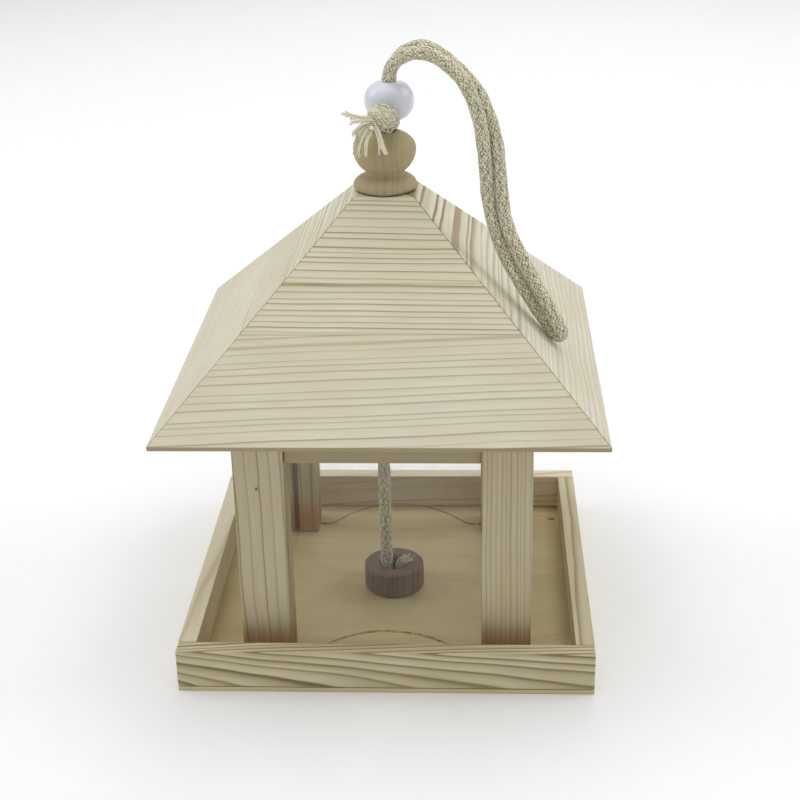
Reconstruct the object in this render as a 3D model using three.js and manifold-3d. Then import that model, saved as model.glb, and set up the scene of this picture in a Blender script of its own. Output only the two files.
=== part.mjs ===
// A hanging bird feeder. A shallow pine tray stands on a thin plywood floor, and four grooved
// corner posts hold clear hopper panes whose arched feet let the seed run out. A hipped roof of
// mitred boards rests on the posts and slides up the rope for filling. The rope is anchored in a
// wooden disc on the floor, runs up through a turned finial and a glazed bead, makes the hanging
// loop and ends in a frayed stopper knot.
// Millimetres, +Z up, +Y to the back. The origin is the centre of the tray's underside.

import * as THREE from 'three';
import { mergeVertices } from 'three/addons/utils/BufferGeometryUtils.js';
import Module from 'manifold-3d';

const wasm = await Module();
wasm.setup();

// Clearance between touching pieces, and how far a cutting tool runs past a face.
const GAP = 0.3;
const OVERCUT = 1;

// Tray.
const TRAY_WIDTH = 194;
const TRAY_DEPTH = 190;
const FLOOR_THICKNESS = 2;
const RAIL_THICKNESS = 8.5;
const RAIL_TOP = 21.3;
const ON_FLOOR = FLOOR_THICKNESS + GAP;

// Corner posts, by the centre of their section.
const POST_X = 56.4;
const POST_Y = 65.5;
const POST_WIDTH = 23;
const POST_DEPTH = 20;
const POST_TOP = 141.6;

// Rails between the post tops.
const TOP_RAIL_BOTTOM = 107.5;
const TOP_RAIL_THICKNESS = 14;

// Hopper panes, held in grooves. The seed outlet is a shallow arch.
const PANE_THICKNESS = 2;
const GROOVE_WIDTH = PANE_THICKNESS + 2 * GAP;
const GROOVE_DEPTH = 4;
const ARCH_HALF_CHORD = 37;
const ARCH_RISE = 12.3;
const ARCH_FILLET = 3;

// Hipped roof: outer eave half sizes, eave land, cut-off apex and board thickness measured level.
const ROOF_HALF_WIDTH = 100;
const ROOF_HALF_DEPTH = 101.5;
const EAVE_BOTTOM = 127.3;
const EAVE_LAND = 2;
const APEX_TOP = 214.4;
const APEX_HALF = 14;
const BOARD_LEVEL_THICKNESS = 12.8;
const MITRE_GAP = 0.2;

// Rope, and the round bores that it runs through.
const ROPE_RADIUS = 3;
const ROPE_BORE = 4;
const TUBE_SIDES = 10;

// Anchor disc.
const DISC_RADIUS = 15.2;
const DISC_HEIGHT = 13;
const DISC_BORE = 7;
const DISC_CHAMFER = 0.8;

// Finial heights.
const FINIAL_BOTTOM = APEX_TOP + GAP;
const BALL_HEIGHT = 233.9;
const BALL_RADIUS = 14.6;
const BALL_LOWER = 13.4;
const BALL_UPPER = 8.9;

// Bead: it leans back on the finial.
const BEAD_CENTRE = [2.6, 1, 255.6];
const BEAD_LEAN = THREE.MathUtils.degToRad(12);
const BEAD_RADIUS = 11.35;
const BEAD_BORE = 6.6;
const BEAD_RIM = 7.4;

// Wood screws, driven from below.
const SCREW_RADIUS = 1.5;
const SCREW_HEAD_RADIUS = 2.8;
const SCREW_HEAD_HEIGHT = 1.3;
const SCREW_SINK = 0.2;
const POST_SCREW_LENGTH = 20;
const DISC_SCREW_LENGTH = 11;
const DISC_SCREW_Y = 11;
const PILOT_TIP = 1;

// Rope routes, from the disc to the finial's bore and from there round the loop to the knot.
const ANCHOR_ROUTE = [
  [-3.7, 0, 3],
  [-3.8, 0, 16],
  [-4, 0, 60],
  [-4, 0, 110],
  [-2.7, 0, 150],
  [-0.8, 0, 182],
  [0, 0, 205],
  [0, 0, 238.8],
];
const TAIL_ROUTE = [
  [3.6, 0, 4],
  [3.6, 0, 14],
  [4.6, -0.8, 17],
  [7.6, -2.4, 19],
];
const LOOP_ROUTE = [
  [0, 0, 239.5],
  [0, 0, 241],
  [1.5, 1.5, 244],
  [2.6, 2.6, 247.5],
  [2.6, 4.4, 255],
  [3, 6.4, 267],
  [6, 5, 273],
  [11, 2, 278],
  [20, -4, 280.5],
  [33, -10, 273],
  [44, -16, 261],
  [51, -20, 242],
  [53, -22, 225],
  [56, -25, 205],
  [67, -31, 183],
  [77, -37, 166],
  [81, -39, 158],
  [80, -36, 155],
  [77, -33, 157],
  [65, -29, 174],
  [54, -24, 193],
  [48, -22.5, 214],
  [46, -23, 235],
  [43, -22.5, 254],
  [36, -19, 269],
  [24, -13, 278],
  [16, -9, 279],
  [9, -5, 276.5],
  [4, -1.5, 271],
  [2.6, -0.4, 265],
  [2.6, -2, 257],
  [2.6, -3.5, 249.5],
];
const KNOT_STUB_ROUTE = [
  [2.6, -3.8, 248.7],
  [2.6, -4.2, 247.4],
  [2.2, -5.8, 245.8],
  [1.6, -8.4, 245.1],
  [0.2, -12, 246.6],
  [-1, -15, 250.5],
];
const KNOT_STUB_RADIUS = 2.6;
const KNOT_CENTRE = [-1, -15.8, 251.6];
const KNOT_RADII = [7.4, 5.4, 6.2];

// Frayed yarns below the knot: a flared profile, flattened against the finial.
const TASSEL_PROFILE = [[0, 0], [7, 0], [7.6, 2], [3.4, 12], [0, 12]];
const TASSEL_FLATNESS = 0.34;
const TASSEL_FOOT = [-6.4, -18.2, 234.3];

// Materials.
const pine = new THREE.MeshStandardMaterial({ color: 0xd9c9a8, roughness: 0.7, metalness: 0 });
const plywood = new THREE.MeshStandardMaterial({ color: 0xd2bd8d, roughness: 0.7, metalness: 0 });
const beech = new THREE.MeshStandardMaterial({ color: 0xa08860, roughness: 0.6, metalness: 0 });
const walnut = new THREE.MeshStandardMaterial({ color: 0x6e5a54, roughness: 0.7, metalness: 0 });
const clearPlastic = new THREE.MeshStandardMaterial({
  color: 0xf2f4f2,
  roughness: 0.1,
  metalness: 0,
  transparent: true,
  opacity: 0.3,
});
const glaze = new THREE.MeshStandardMaterial({ color: 0xd9d8e6, roughness: 0.15, metalness: 0 });
const cotton = new THREE.MeshStandardMaterial({ color: 0xcfc5a8, roughness: 0.95, metalness: 0 });
const steel = new THREE.MeshStandardMaterial({ color: 0xb5b5b2, roughness: 0.35, metalness: 1 });

const feeder = new THREE.Group();

function addPiece(name, geometry, material) {
  const mesh = new THREE.Mesh(geometry, material);
  mesh.name = name;
  feeder.add(mesh);
}

// Conversions between three.js geometry and the solids that are joined and cut.

function toSolid(geometry) {
  const bare = geometry.clone();
  bare.deleteAttribute('normal');
  bare.deleteAttribute('uv');
  const merged = mergeVertices(bare, 1e-4);
  return new wasm.Manifold(new wasm.Mesh({
    numProp: 3,
    vertProperties: new Float32Array(merged.attributes.position.array),
    triVerts: new Uint32Array(merged.index.array),
  }));
}

function toGeometry(solid) {
  const mesh = solid.getMesh();
  const geometry = new THREE.BufferGeometry();
  geometry.setAttribute('position', new THREE.BufferAttribute(mesh.vertProperties, 3));
  geometry.setIndex(new THREE.BufferAttribute(mesh.triVerts, 1));
  return geometry;
}

function cut(geometry, tools) {
  let solid = toSolid(geometry);
  for (const tool of tools) {
    solid = solid.subtract(toSolid(tool));
  }
  return toGeometry(solid);
}

// Basic shapes.

function block(low, high) {
  const size = high.map((value, axis) => value - low[axis]);
  const geometry = new THREE.BoxGeometry(...size);
  geometry.translate(...low.map((value, axis) => (value + high[axis]) / 2));
  return geometry;
}

// A profile of [radius, height] points turned about the vertical axis.
function turned(profile, segments) {
  const points = profile.map(([radius, height]) => new THREE.Vector2(radius, height));
  const geometry = new THREE.LatheGeometry(points, segments);
  geometry.rotateX(Math.PI / 2);
  return geometry;
}

function rod(radius, bottom, top, x, y) {
  const geometry = turned([[0, bottom], [radius, bottom], [radius, top], [0, top]], 20);
  geometry.translate(x, y, 0);
  return geometry;
}

function tube(route, radius, steps) {
  const path = new THREE.CatmullRomCurve3(route.map((point) => new THREE.Vector3(...point)));
  const section = new THREE.Shape();
  for (let side = 0; side < TUBE_SIDES; side += 1) {
    const angle = (2 * Math.PI * side) / TUBE_SIDES;
    const point = [radius * Math.cos(angle), radius * Math.sin(angle)];
    if (side === 0) {
      section.moveTo(...point);
    } else {
      section.lineTo(...point);
    }
  }
  section.closePath();
  return new THREE.ExtrudeGeometry(section, { extrudePath: path, steps, bevelEnabled: false });
}

function ellipsoid(centre, radii) {
  const geometry = new THREE.SphereGeometry(1, 20, 12);
  geometry.scale(...radii);
  geometry.translate(...centre);
  return geometry;
}

// Screws, and the clearance that they need in the wood.

function screwProfile(length, spare) {
  const head = SCREW_SINK + SCREW_HEAD_HEIGHT;
  const end = SCREW_SINK + length;
  return [
    [0, SCREW_SINK],
    [SCREW_HEAD_RADIUS + spare, SCREW_SINK],
    [SCREW_RADIUS + spare, head],
    [SCREW_RADIUS + spare, end - 2],
    [0, end],
  ];
}

function makeScrew(length, x, y) {
  const recessTop = SCREW_SINK + SCREW_HEAD_HEIGHT * 0.7;
  const slots = [
    block([-1.6, -0.35, -OVERCUT], [1.6, 0.35, recessTop]),
    block([-0.35, -1.6, -OVERCUT], [0.35, 1.6, recessTop]),
  ];
  const geometry = cut(turned(screwProfile(length, 0), 16), slots);
  geometry.translate(x, y, 0);
  return geometry;
}

// The hole in the floor is countersunk, so the screw's head sits in it with clearance all round.
function floorHole(x, y) {
  const profile = [
    [0, -OVERCUT],
    [SCREW_HEAD_RADIUS + GAP, -OVERCUT],
    [SCREW_HEAD_RADIUS + GAP, SCREW_SINK],
    [SCREW_RADIUS + GAP, SCREW_SINK + SCREW_HEAD_HEIGHT],
    [SCREW_RADIUS + GAP, FLOOR_THICKNESS + OVERCUT],
    [0, FLOOR_THICKNESS + OVERCUT],
  ];
  const geometry = turned(profile, 20);
  geometry.translate(x, y, 0);
  return geometry;
}

function pilotHole(length, x, y) {
  return rod(SCREW_RADIUS + GAP, ON_FLOOR - OVERCUT, SCREW_SINK + length + PILOT_TIP, x, y);
}

const CORNERS = [
  ['front_left', -1, -1],
  ['front_right', 1, -1],
  ['back_left', -1, 1],
  ['back_right', 1, 1],
];
const DISC_SCREWS = [
  ['front', -DISC_SCREW_Y],
  ['back', DISC_SCREW_Y],
];

// Tray.

function addTrayFloor() {
  const holes = [];
  for (const [, sideX, sideY] of CORNERS) {
    holes.push(floorHole(sideX * POST_X, sideY * POST_Y));
  }
  for (const [, y] of DISC_SCREWS) {
    holes.push(floorHole(0, y));
  }
  const sheet = block(
    [-TRAY_WIDTH / 2, -TRAY_DEPTH / 2, 0],
    [TRAY_WIDTH / 2, TRAY_DEPTH / 2, FLOOR_THICKNESS],
  );
  addPiece('tray_floor', cut(sheet, holes), plywood);
}

// The front and back rails run the full width, and the side rails butt between them.
function addTrayRails() {
  const outerX = TRAY_WIDTH / 2;
  const outerY = TRAY_DEPTH / 2;
  const innerX = outerX - RAIL_THICKNESS;
  const innerY = outerY - RAIL_THICKNESS;
  const sideEnd = innerY - GAP;
  const front = block([-outerX, -outerY, ON_FLOOR], [outerX, -innerY, RAIL_TOP]);
  const back = block([-outerX, innerY, ON_FLOOR], [outerX, outerY, RAIL_TOP]);
  const left = block([-outerX, -sideEnd, ON_FLOOR], [-innerX, sideEnd, RAIL_TOP]);
  const right = block([innerX, -sideEnd, ON_FLOOR], [outerX, sideEnd, RAIL_TOP]);
  addPiece('tray_rail_front', front, pine);
  addPiece('tray_rail_back', back, pine);
  addPiece('tray_rail_left', left, pine);
  addPiece('tray_rail_right', right, pine);
}

// Posts, top rails and panes.

function addPost(corner, sideX, sideY) {
  const x = sideX * POST_X;
  const y = sideY * POST_Y;
  const innerX = x - (sideX * POST_WIDTH) / 2;
  const innerY = y - (sideY * POST_DEPTH) / 2;
  const post = block(
    [x - POST_WIDTH / 2, y - POST_DEPTH / 2, ON_FLOOR],
    [x + POST_WIDTH / 2, y + POST_DEPTH / 2, POST_TOP],
  );
  const grooveX = block(
    [innerX - GROOVE_DEPTH, y - GROOVE_WIDTH / 2, ON_FLOOR - OVERCUT],
    [innerX + GROOVE_DEPTH, y + GROOVE_WIDTH / 2, POST_TOP + OVERCUT],
  );
  const grooveY = block(
    [x - GROOVE_WIDTH / 2, innerY - GROOVE_DEPTH, ON_FLOOR - OVERCUT],
    [x + GROOVE_WIDTH / 2, innerY + GROOVE_DEPTH, POST_TOP + OVERCUT],
  );
  const pilot = pilotHole(POST_SCREW_LENGTH, x, y);
  addPiece(`post_${corner}`, cut(post, [grooveX, grooveY, pilot]), pine);
  addPiece(`post_screw_${corner}`, makeScrew(POST_SCREW_LENGTH, x, y), steel);
}

// A top rail or a pane is made along X at the origin, then turned and moved to its side.
const SIDES = [
  ['front', 0, [0, -POST_Y, 0], POST_X - POST_WIDTH / 2],
  ['back', Math.PI, [0, POST_Y, 0], POST_X - POST_WIDTH / 2],
  ['left', -Math.PI / 2, [-POST_X, 0, 0], POST_Y - POST_DEPTH / 2],
  ['right', Math.PI / 2, [POST_X, 0, 0], POST_Y - POST_DEPTH / 2],
];

function addTopRail(side, turn, place, halfSpan) {
  const half = halfSpan - GAP;
  const rail = block(
    [-half, -TOP_RAIL_THICKNESS / 2, TOP_RAIL_BOTTOM],
    [half, TOP_RAIL_THICKNESS / 2, POST_TOP],
  );
  const groove = block(
    [-half - OVERCUT, -GROOVE_WIDTH / 2, TOP_RAIL_BOTTOM - OVERCUT],
    [half + OVERCUT, GROOVE_WIDTH / 2, TOP_RAIL_BOTTOM + GROOVE_DEPTH],
  );
  const geometry = cut(rail, [groove]);
  geometry.rotateZ(turn);
  geometry.translate(...place);
  addPiece(`top_rail_${side}`, geometry, pine);
}

function addPane(side, turn, place, halfSpan) {
  const half = halfSpan + GROOVE_DEPTH - GAP;
  const height = TOP_RAIL_BOTTOM + GROOVE_DEPTH - GAP - ON_FLOOR;
  const radius = (ARCH_HALF_CHORD ** 2 + ARCH_RISE ** 2) / (2 * ARCH_RISE);
  const centre = ARCH_RISE - radius;
  const start = Math.asin((ARCH_HALF_CHORD - ARCH_FILLET) / radius);
  const outline = new THREE.Shape();
  outline.moveTo(-half, 0);
  outline.lineTo(-ARCH_HALF_CHORD - ARCH_FILLET, 0);
  const filletEnd = [-radius * Math.sin(start), centre + radius * Math.cos(start)];
  outline.quadraticCurveTo(-ARCH_HALF_CHORD, 0, ...filletEnd);
  outline.absarc(0, centre, radius, Math.PI / 2 + start, Math.PI / 2 - start, true);
  outline.quadraticCurveTo(ARCH_HALF_CHORD, 0, ARCH_HALF_CHORD + ARCH_FILLET, 0);
  outline.lineTo(half, 0);
  outline.lineTo(half, height);
  outline.lineTo(-half, height);
  outline.closePath();
  const geometry = new THREE.ExtrudeGeometry(outline, {
    depth: PANE_THICKNESS,
    bevelEnabled: false,
    curveSegments: 24,
  });
  geometry.translate(0, 0, -PANE_THICKNESS / 2);
  geometry.rotateX(Math.PI / 2);
  geometry.translate(0, 0, ON_FLOOR);
  geometry.rotateZ(turn);
  geometry.translate(...place);
  addPiece(`hopper_pane_${side}`, geometry, clearPlastic);
}

// Anchor disc and the rope below the roof.

function addAnchor() {
  const bottom = ON_FLOOR;
  const top = ON_FLOOR + DISC_HEIGHT;
  const ring = turned([
    [DISC_BORE, bottom],
    [DISC_RADIUS - DISC_CHAMFER, bottom],
    [DISC_RADIUS, bottom + DISC_CHAMFER],
    [DISC_RADIUS, top - DISC_CHAMFER],
    [DISC_RADIUS - DISC_CHAMFER, top],
    [DISC_BORE + DISC_CHAMFER, top],
    [DISC_BORE, top - DISC_CHAMFER],
    [DISC_BORE, bottom],
  ], 40);
  const pilots = DISC_SCREWS.map(([, y]) => pilotHole(DISC_SCREW_LENGTH, 0, y));
  addPiece('rope_anchor_disc', cut(ring, pilots), walnut);
  for (const [place, y] of DISC_SCREWS) {
    addPiece(`disc_screw_${place}`, makeScrew(DISC_SCREW_LENGTH, 0, y), steel);
  }
  addPiece('anchor_strand', tube(ANCHOR_ROUTE, ROPE_RADIUS, 20), cotton);
  addPiece('strand_tail', tube(TAIL_ROUTE, ROPE_RADIUS, 6), cotton);
}

// Roof.

// The section of a roof board on its mitre: distance out from the centre line, and height.
function boardSection() {
  const slope = (APEX_TOP - EAVE_BOTTOM - EAVE_LAND) / (ROOF_HALF_WIDTH - APEX_HALF);
  return [
    [ROOF_HALF_WIDTH, EAVE_BOTTOM],
    [ROOF_HALF_WIDTH, EAVE_BOTTOM + EAVE_LAND],
    [APEX_HALF, APEX_TOP],
    [APEX_HALF - BOARD_LEVEL_THICKNESS, APEX_TOP],
    [ROOF_HALF_WIDTH - BOARD_LEVEL_THICKNESS + EAVE_LAND / slope, EAVE_BOTTOM],
  ];
}

// The mitre plane's Y for a distance out along X.
function hipY(x) {
  return APEX_HALF + ((x - APEX_HALF) * (ROOF_HALF_DEPTH - APEX_HALF)) / (ROOF_HALF_WIDTH - APEX_HALF);
}

// A board is a loft from its section on one mitre to the same section on the other.
function makeBoard(side) {
  const section = boardSection();
  const alongX = side === 'front' || side === 'back';
  const out = side === 'front' || side === 'left' ? -1 : 1;
  const ends = [];
  for (const end of [-1, 1]) {
    for (const [x, z] of section) {
      const y = hipY(x);
      ends.push(alongX ? [end * (x - MITRE_GAP), out * y, z] : [out * x, end * (y - MITRE_GAP), z]);
    }
  }
  const count = section.length;
  const faces = [];
  for (let corner = 0; corner < count; corner += 1) {
    const next = (corner + 1) % count;
    faces.push([corner, next, next + count], [corner, next + count, corner + count]);
  }
  for (let corner = 1; corner < count - 1; corner += 1) {
    faces.push([0, corner + 1, corner], [count, count + corner, count + corner + 1]);
  }
  const flip = alongX ? out < 0 : out > 0;
  const index = faces.flatMap((face) => (flip ? [...face].reverse() : face));
  const geometry = new THREE.BufferGeometry();
  geometry.setAttribute('position', new THREE.Float32BufferAttribute(ends.flat(), 3));
  geometry.setIndex(index);
  return geometry;
}

function addRoof() {
  const bore = rod(ROPE_BORE, APEX_TOP - 20, APEX_TOP + OVERCUT, 0, 0);
  for (const side of ['front', 'back', 'left', 'right']) {
    addPiece(`roof_panel_${side}`, cut(makeBoard(side), [bore]), pine);
  }
}

// The finial is a rounded foot, a narrow neck and a ball that is flatter above than below.
function addFinial() {
  const profile = [
    [ROPE_BORE, FINIAL_BOTTOM],
    [13.2, FINIAL_BOTTOM],
    [14.5, FINIAL_BOTTOM + 0.9],
    [14.8, FINIAL_BOTTOM + 2.1],
    [14.3, FINIAL_BOTTOM + 3.9],
    [12.7, FINIAL_BOTTOM + 5.5],
    [10.6, FINIAL_BOTTOM + 6.5],
    [9.3, FINIAL_BOTTOM + 7.2],
    [9.1, FINIAL_BOTTOM + 8.1],
  ];
  for (let angle = -50; angle <= 60; angle += 10) {
    const turn = THREE.MathUtils.degToRad(angle);
    const height = (angle < 0 ? BALL_LOWER : BALL_UPPER) * Math.sin(turn);
    profile.push([BALL_RADIUS * Math.cos(turn), BALL_HEIGHT + height]);
  }
  const top = BALL_HEIGHT + BALL_UPPER * 0.94;
  profile.push([6.3, top - 0.2]);
  profile.push([5.4, top - 0.9]);
  profile.push([ROPE_BORE, top - 3.4]);
  profile.push([ROPE_BORE, FINIAL_BOTTOM]);
  addPiece('finial', turned(profile, 40), beech);
}

// The bead and what is on the rope above the roof.

function addBead() {
  const rimHeight = Math.sqrt(BEAD_RADIUS ** 2 - BEAD_RIM ** 2);
  const rimAngle = Math.asin(rimHeight / BEAD_RADIUS);
  const profile = [[BEAD_BORE, -rimHeight + 0.7]];
  const steps = 14;
  for (let step = 0; step <= steps; step += 1) {
    const angle = -rimAngle + (2 * rimAngle * step) / steps;
    profile.push([BEAD_RADIUS * Math.cos(angle), BEAD_RADIUS * Math.sin(angle)]);
  }
  profile.push([BEAD_BORE, rimHeight - 0.7]);
  profile.push([BEAD_BORE, -rimHeight + 0.7]);
  const geometry = turned(profile, 32);
  geometry.rotateX(-BEAD_LEAN);
  geometry.translate(...BEAD_CENTRE);
  addPiece('bead', geometry, glaze);
}

function addKnot() {
  const lump = toSolid(ellipsoid(KNOT_CENTRE, KNOT_RADII));
  const stub = toSolid(tube(KNOT_STUB_ROUTE, KNOT_STUB_RADIUS, 12));
  addPiece('stopper_knot', toGeometry(lump.add(stub)), cotton);
}

// The frayed yarns are one flared skirt that hangs below the knot, in front of the finial.
function addTassel() {
  const geometry = turned(TASSEL_PROFILE, 14);
  geometry.scale(1, TASSEL_FLATNESS, 1);
  geometry.translate(...TASSEL_FOOT);
  addPiece('knot_tassel', geometry, cotton);
}

addTrayFloor();
addTrayRails();
for (const corner of CORNERS) {
  addPost(...corner);
}
for (const side of SIDES) {
  addTopRail(...side);
  addPane(...side);
}
addAnchor();
addRoof();
addFinial();
addBead();
addPiece('hanging_loop', tube(LOOP_ROUTE, ROPE_RADIUS, 78), cotton);
addKnot();
addTassel();

export default feeder;
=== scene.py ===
"""Looks of a hanging bird feeder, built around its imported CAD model.

Everything is in metres in the CAD frame: +Z up, +Y to the back, origin under the tray's centre.
Routes and wood figures are written in millimetres and scaled by MM.
"""

import math
import random

import bpy
import numpy as np
from mathutils import Matrix, Vector


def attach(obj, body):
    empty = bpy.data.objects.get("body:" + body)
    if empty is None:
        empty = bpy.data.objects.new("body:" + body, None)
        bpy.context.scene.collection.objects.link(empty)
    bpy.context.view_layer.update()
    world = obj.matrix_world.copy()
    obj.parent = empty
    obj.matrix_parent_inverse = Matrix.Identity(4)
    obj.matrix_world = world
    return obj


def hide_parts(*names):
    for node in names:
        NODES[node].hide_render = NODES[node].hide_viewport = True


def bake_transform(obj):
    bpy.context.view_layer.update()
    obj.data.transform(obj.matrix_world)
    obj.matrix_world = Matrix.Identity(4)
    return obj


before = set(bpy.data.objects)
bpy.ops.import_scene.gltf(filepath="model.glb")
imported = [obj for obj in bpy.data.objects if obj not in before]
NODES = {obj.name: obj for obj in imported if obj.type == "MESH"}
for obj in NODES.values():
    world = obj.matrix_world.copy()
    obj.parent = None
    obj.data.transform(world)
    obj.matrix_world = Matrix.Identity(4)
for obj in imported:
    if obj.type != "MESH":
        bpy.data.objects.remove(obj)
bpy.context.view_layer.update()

MM = 0.001

# Camera: focal length, place and direction that match the photograph's viewing angle.
CAMERA_LENS = 69.6
CAMERA_SENSOR = 36.0
CAMERA_PLACE = (0.04176, -0.69770, 0.41516)
CAMERA_YAW = -3.038
CAMERA_PITCH = 23.815
CAMERA_ROLL = -1.193

# Braided rope: how round a strand stands up, and how far it goes over and under the next.
ROPE_RADIUS = 3.0
BRAID_STRANDS = 10
BRAID_PITCH = 2.1
BRAID_STEP = 0.4
BRAID_SIDES = 96
RELIEF = 0.17
WEAVE = 0.15

# Two-ply yarn; the lay is the length of one full twist.
YARN_SIDES = 10
YARN_STEP = 0.4
YARN_LAY = 2.4

# Rope routes, as in the CAD source. The tail stops where its fray starts. The hanging rope is cut in
# two just inside the bead, out of sight: the neck, which starts deep in the finial's bore, and the
# loop.
ANCHOR_ROUTE = [
    (-3.7, 0, 3),
    (-3.8, 0, 16),
    (-4, 0, 60),
    (-4, 0, 110),
    (-2.7, 0, 150),
    (-0.8, 0, 182),
    (0, 0, 205),
    (0, 0, 238.8),
]
TAIL_ROUTE = [
    (3.6, 0, 4),
    (3.6, 0, 14),
    (4.6, -0.8, 17),
]
NECK_ROUTE = [
    (0, 0, 206),
    (0, 0, 232),
    (0, 0, 239.5),
    (0, 0, 241),
    (1.5, 1.5, 244),
    (2.6, 2.6, 247.5),
    (2.6, 3.2, 249.8),
]
LOOP_ROUTE = [
    (2.6, 3.1, 249.5),
    (2.6, 4.4, 255),
    (3, 6.4, 267),
    (6, 5, 273),
    (11, 2, 278),
    (20, -4, 280.5),
    (33, -10, 273),
    (44, -16, 261),
    (51, -20, 242),
    (53, -22, 225),
    (56, -25, 205),
    (67, -31, 183),
    (77, -37, 166),
    (81, -39, 158),
    (80, -36, 155),
    (77, -33, 157),
    (65, -29, 174),
    (54, -24, 193),
    (48, -22.5, 214),
    (46, -23, 235),
    (43, -22.5, 254),
    (36, -19, 269),
    (24, -13, 278),
    (16, -9, 279),
    (9, -5, 276.5),
    (4, -1.5, 271),
    (2.6, -0.4, 265),
    (2.6, -2, 257),
    (2.6, -3.5, 249.5),
]

# Finial, as in the CAD source. The ball is taller below its middle than above.
FINIAL_BOTTOM = 214.7
FINIAL_BORE = 4.0
BALL_HEIGHT = 233.9
BALL_RADIUS = 14.6
BALL_LOWER = 13.4
BALL_UPPER = 8.9

# Bead. A fullness of 2 is an ellipse, and more is squarer.
BEAD_CENTRE = (2.6, 1, 255.6)
BEAD_LEAN = 12
BEAD_RADIUS = 11.35
BEAD_HALF_HEIGHT = 9.6
BEAD_FULLNESS = 2.2
BEAD_BORE_X = 4.3
BEAD_BORE_Y = 6.7
BEAD_ROWS = 24
LATHE_SEGMENTS = 128

# Yarn thickness in the rope's frayed end and in the tassel.
FRAY_YARN = 0.4
TASSEL_YARN = 0.43


# Node trees.


class Tree:
    """Short names for building one material's nodes."""

    def __init__(self, name):
        self.material = bpy.data.materials.new(name)
        self.material.use_nodes = True
        self.nodes = self.material.node_tree.nodes
        self.links = self.material.node_tree.links
        self.shader = self.nodes["Principled BSDF"]

    def feed(self, socket, value):
        if value is None:
            return
        if isinstance(value, bpy.types.NodeSocket):
            self.links.new(value, socket)
        else:
            socket.default_value = value

    def add(self, kind, inputs=(), output=0, **settings):
        node = self.nodes.new(kind)
        for key, value in settings.items():
            setattr(node, key, value)
        for key, value in dict(inputs).items():
            self.feed(node.inputs[key], value)
        return node.outputs[output]

    def math(self, operation, a, b=None, c=None, clamp=False):
        values = {0: a, 1: b, 2: c}
        return self.add("ShaderNodeMath", values, operation=operation, use_clamp=clamp)

    def vector(self, operation, a, b=None, output=0):
        return self.add("ShaderNodeVectorMath", {0: a, 1: b}, output, operation=operation)

    def dot(self, a, axis):
        return self.add("ShaderNodeVectorMath", {0: a, 1: axis}, 1, operation="DOT_PRODUCT")

    def combine(self, x, y, z):
        return self.add("ShaderNodeCombineXYZ", {0: x, 1: y, 2: z})

    def object_mm(self):
        """The point on the object, in millimetres in the CAD frame."""
        place = self.add("ShaderNodeTexCoord", output="Object")
        scale = self.nodes.new("ShaderNodeVectorMath")
        scale.operation = "SCALE"
        self.links.new(place, scale.inputs[0])
        scale.inputs["Scale"].default_value = 1 / MM
        return scale.outputs[0]

    def noise(self, vector, scale, detail=2.0, rough=0.5, output="Factor"):
        node = self.nodes.new("ShaderNodeTexNoise")
        self.feed(node.inputs["Vector"], vector)
        node.inputs["Scale"].default_value = scale
        node.inputs["Detail"].default_value = detail
        node.inputs["Roughness"].default_value = rough
        return node.outputs["Fac" if output == "Factor" else "Color"]

    def spread(self, value, low, high, to_low=0.0, to_high=1.0, smooth=False):
        """Maps low..high to to_low..to_high, clamped."""
        node = self.nodes.new("ShaderNodeMapRange")
        node.interpolation_type = "SMOOTHSTEP" if smooth else "LINEAR"
        self.feed(node.inputs["Value"], value)
        node.inputs["From Min"].default_value = low
        node.inputs["From Max"].default_value = high
        node.inputs["To Min"].default_value = to_low
        node.inputs["To Max"].default_value = to_high
        return node.outputs["Result"]

    def mix(self, factor, a, b, blend="MIX"):
        node = self.nodes.new("ShaderNodeMix")
        node.data_type = "RGBA"
        node.blend_type = blend
        self.feed(node.inputs[0], factor)
        self.feed(node.inputs[6], rgba(a))
        self.feed(node.inputs[7], rgba(b))
        return node.outputs[2]

    def ramp(self, value, stops):
        node = self.nodes.new("ShaderNodeValToRGB")
        self.feed(node.inputs[0], value)
        elements = node.color_ramp.elements
        for element, (place, level) in ((elements[0], stops[0]), (elements[1], stops[-1])):
            element.position = place
            element.color = (level, level, level, 1.0)
        for place, level in stops[1:-1]:
            elements.new(place).color = (level, level, level, 1.0)
        return node.outputs[0]

    def bump(self, height, distance, strength=1.0):
        node = self.nodes.new("ShaderNodeBump")
        node.inputs["Strength"].default_value = strength
        node.inputs["Distance"].default_value = distance
        self.feed(node.inputs["Height"], height)
        self.links.new(node.outputs["Normal"], self.shader.inputs["Normal"])


def rgba(value):
    """A colour given as sRGB 0-255 becomes linear RGBA; a socket stays as it is."""
    if isinstance(value, bpy.types.NodeSocket):
        return value
    linear = []
    for level in value:
        level /= 255
        linear.append(level / 12.92 if level <= 0.04045 else ((level + 0.055) / 1.055) ** 2.4)
    return (*linear, 1.0)


# Wood.

# Early wood, the warm band that darkens through the year, and the thin line that ends it.
PINE = ((219, 212, 190), (202, 187, 149), (128, 110, 76))
COOL_PINE = ((216, 212, 193), (200, 187, 153), (136, 116, 84))
RAIL_PINE = ((215, 205, 172), (158, 142, 98), (128, 110, 70))
# A lighter pine for the left and back rails: painted light, where more light falls on them.
LIT_RAIL_PINE = ((228, 219, 196), (204, 187, 147), (152, 130, 88))
POST_PINE = ((202, 192, 162), (188, 170, 128), (124, 102, 64))
# A darker pine for the top rails: painted shade, as they sit under the roof.
ROOF_SHADE_PINE = ((178, 166, 134), (160, 144, 104), (126, 106, 72))
PLYWOOD = ((213, 199, 155), (196, 176, 126), (170, 147, 98))
BEECH = ((177, 162, 126), (165, 149, 111), (142, 124, 90))
DARK_WOOD = ((126, 106, 93), (110, 92, 80), (84, 68, 58))
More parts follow.
